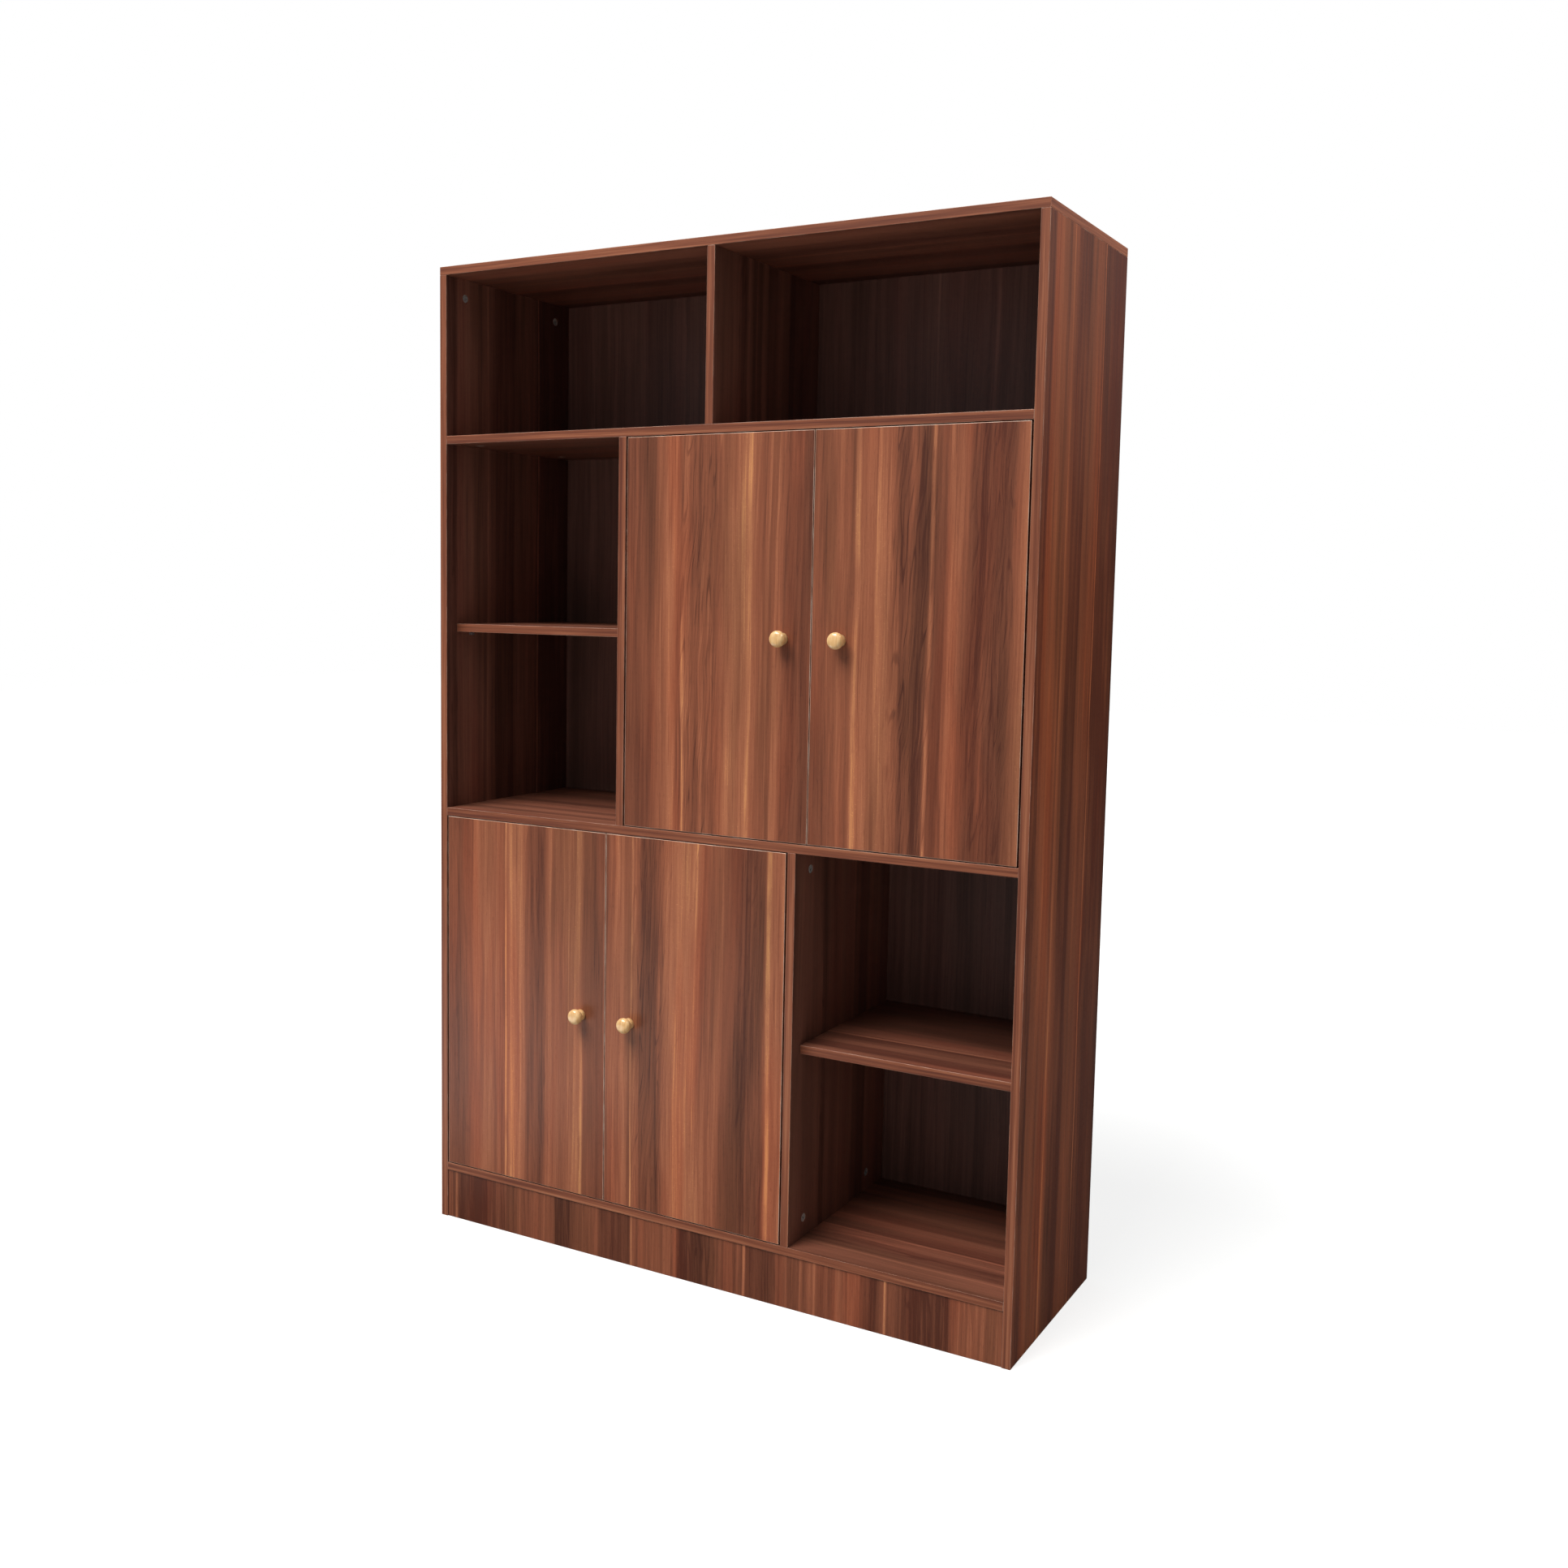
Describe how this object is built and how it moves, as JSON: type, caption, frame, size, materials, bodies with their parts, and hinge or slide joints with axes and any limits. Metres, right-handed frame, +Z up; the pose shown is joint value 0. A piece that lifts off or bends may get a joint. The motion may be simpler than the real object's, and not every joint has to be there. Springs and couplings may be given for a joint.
{
  "type": "cube storage unit",
  "caption": "Free-standing wood-print storage cabinet with open compartments, adjustable shelves and two pairs of inset hinged doors with round wooden knobs.",
  "frame": {"origin": "on the floor, at the middle of the overall width and the middle of the overall depth, knobs included", "axes": "+X to the right seen from the front, -Y towards the viewer in front, +Z up"},
  "size_m": [1.16, 0.421, 1.8],
  "materials": {
    "walnut_board": "satin wood-print melamine with edge band",
    "walnut_door": "satin wood-print melamine with edge band",
    "walnut_back_board": "printed thin fibreboard",
    "lacquered_pale_wood": "clear gloss lacquer",
    "nickel_hinge": "nickel plated",
    "steel_fixings": "zinc plated",
    "zinc_cam": "die-cast zinc",
    "beech_dowel": "plain beech"
  },
  "bodies": {
    "carcass": {"left_side_panel": "walnut_board", "right_side_panel": "walnut_board", "top_panel": "walnut_board", "bottom_panel": "walnut_board", "middle_fixed_shelf": "walnut_board", "upper_fixed_shelf": "walnut_board", "top_divider": "walnut_board", "upper_divider": "walnut_board", "lower_divider": "walnut_board", "upper_back_panel": "walnut_back_board", "lower_back_panel": "walnut_back_board", "front_plinth": "walnut_board", "rear_plinth": "walnut_board", "left_bay_shelf": "walnut_board", "right_bay_shelf": "walnut_board", "upper_cupboard_shelf": "walnut_board", "lower_cupboard_shelf": "walnut_board", "cam_locks": "zinc_cam", "cam_bolts": "steel_fixings", "wooden_dowels": "beech_dowel", "shelf_pins": "steel_fixings", "back_panel_screws": "steel_fixings", "hinge_mounting_plates": "nickel_hinge", "hinge_plate_screws": "steel_fixings", "hinge_arms": "nickel_hinge", "hinge_arm_screws": "steel_fixings", "hinge_arm_pins": "steel_fixings"},
    "upper_left_door_body": {"upper_left_door": "walnut_door", "upper_left_knob": "lacquered_pale_wood", "upper_left_knob_screw": "steel_fixings", "upper_left_hinge_cups": "nickel_hinge", "upper_left_cup_screws": "steel_fixings"},
    "upper_left_outer_link_body": {"upper_left_outer_links": "nickel_hinge"},
    "upper_left_inner_link_body": {"upper_left_inner_links": "nickel_hinge"},
    "upper_right_door_body": {"upper_right_door": "walnut_door", "upper_right_knob": "lacquered_pale_wood", "upper_right_knob_screw": "steel_fixings", "upper_right_hinge_cups": "nickel_hinge", "upper_right_cup_screws": "steel_fixings"},
    "upper_right_outer_link_body": {"upper_right_outer_links": "nickel_hinge"},
    "upper_right_inner_link_body": {"upper_right_inner_links": "nickel_hinge"},
    "lower_left_door_body": {"lower_left_door": "walnut_door", "lower_left_knob": "lacquered_pale_wood", "lower_left_knob_screw": "steel_fixings", "lower_left_hinge_cups": "nickel_hinge", "lower_left_cup_screws": "steel_fixings"},
    "lower_left_outer_link_body": {"lower_left_outer_links": "nickel_hinge"},
    "lower_left_inner_link_body": {"lower_left_inner_links": "nickel_hinge"},
    "lower_right_door_body": {"lower_right_door": "walnut_door", "lower_right_knob": "lacquered_pale_wood", "lower_right_knob_screw": "steel_fixings", "lower_right_hinge_cups": "nickel_hinge", "lower_right_cup_screws": "steel_fixings"},
    "lower_right_outer_link_body": {"lower_right_outer_links": "nickel_hinge"},
    "lower_right_inner_link_body": {"lower_right_inner_links": "nickel_hinge"}
  },
  "joints": [
    {"name": "upper_left_door_swing", "type": "hinge", "parent": "carcass", "child": "upper_left_door_body", "pos_m": [-0.162, -0.1845, 1.14], "axis": [0, 0, -1], "range_deg": [0, 100]},
    {"name": "upper_left_outer_link_turn", "type": "hinge", "parent": "carcass", "child": "upper_left_outer_link_body", "pos_m": [-0.146, -0.1645, 1.14], "axis": [0, 0, -1], "range_deg": [0, 100]},
    {"name": "upper_left_inner_link_turn", "type": "hinge", "parent": "upper_left_door_body", "child": "upper_left_inner_link_body", "pos_m": [-0.134, -0.175, 1.14], "axis": [0, 0, -1], "range_deg": [-100, 0]},
    {"name": "upper_right_door_swing", "type": "hinge", "parent": "carcass", "child": "upper_right_door_body", "pos_m": [0.562, -0.1845, 1.14], "axis": [0, 0, 1], "range_deg": [0, 100]},
    {"name": "upper_right_outer_link_turn", "type": "hinge", "parent": "carcass", "child": "upper_right_outer_link_body", "pos_m": [0.546, -0.1645, 1.14], "axis": [0, 0, 1], "range_deg": [0, 100]},
    {"name": "upper_right_inner_link_turn", "type": "hinge", "parent": "upper_right_door_body", "child": "upper_right_inner_link_body", "pos_m": [0.534, -0.175, 1.14], "axis": [0, 0, 1], "range_deg": [-100, 0]},
    {"name": "lower_left_door_swing", "type": "hinge", "parent": "carcass", "child": "lower_left_door_body", "pos_m": [-0.562, -0.1845, 0.447], "axis": [0, 0, -1], "range_deg": [0, 100]},
    {"name": "lower_left_outer_link_turn", "type": "hinge", "parent": "carcass", "child": "lower_left_outer_link_body", "pos_m": [-0.546, -0.1645, 0.447], "axis": [0, 0, -1], "range_deg": [0, 100]},
    {"name": "lower_left_inner_link_turn", "type": "hinge", "parent": "lower_left_door_body", "child": "lower_left_inner_link_body", "pos_m": [-0.534, -0.175, 0.447], "axis": [0, 0, -1], "range_deg": [-100, 0]},
    {"name": "lower_right_door_swing", "type": "hinge", "parent": "carcass", "child": "lower_right_door_body", "pos_m": [0.162, -0.1845, 0.447], "axis": [0, 0, 1], "range_deg": [0, 100]},
    {"name": "lower_right_outer_link_turn", "type": "hinge", "parent": "carcass", "child": "lower_right_outer_link_body", "pos_m": [0.146, -0.1645, 0.447], "axis": [0, 0, 1], "range_deg": [0, 100]},
    {"name": "lower_right_inner_link_turn", "type": "hinge", "parent": "lower_right_door_body", "child": "lower_right_inner_link_body", "pos_m": [0.134, -0.175, 0.447], "axis": [0, 0, 1], "range_deg": [-100, 0]}
  ],
  "couplings": [
    {"joint": "upper_left_outer_link_turn", "follows": "upper_left_door_swing", "ratio": 1},
    {"joint": "upper_left_inner_link_turn", "follows": "upper_left_door_swing", "ratio": -1},
    {"joint": "upper_right_outer_link_turn", "follows": "upper_right_door_swing", "ratio": 1},
    {"joint": "upper_right_inner_link_turn", "follows": "upper_right_door_swing", "ratio": -1},
    {"joint": "lower_left_outer_link_turn", "follows": "lower_left_door_swing", "ratio": 1},
    {"joint": "lower_left_inner_link_turn", "follows": "lower_left_door_swing", "ratio": -1},
    {"joint": "lower_right_outer_link_turn", "follows": "lower_right_door_swing", "ratio": 1},
    {"joint": "lower_right_inner_link_turn", "follows": "lower_right_door_swing", "ratio": -1}
  ]
}
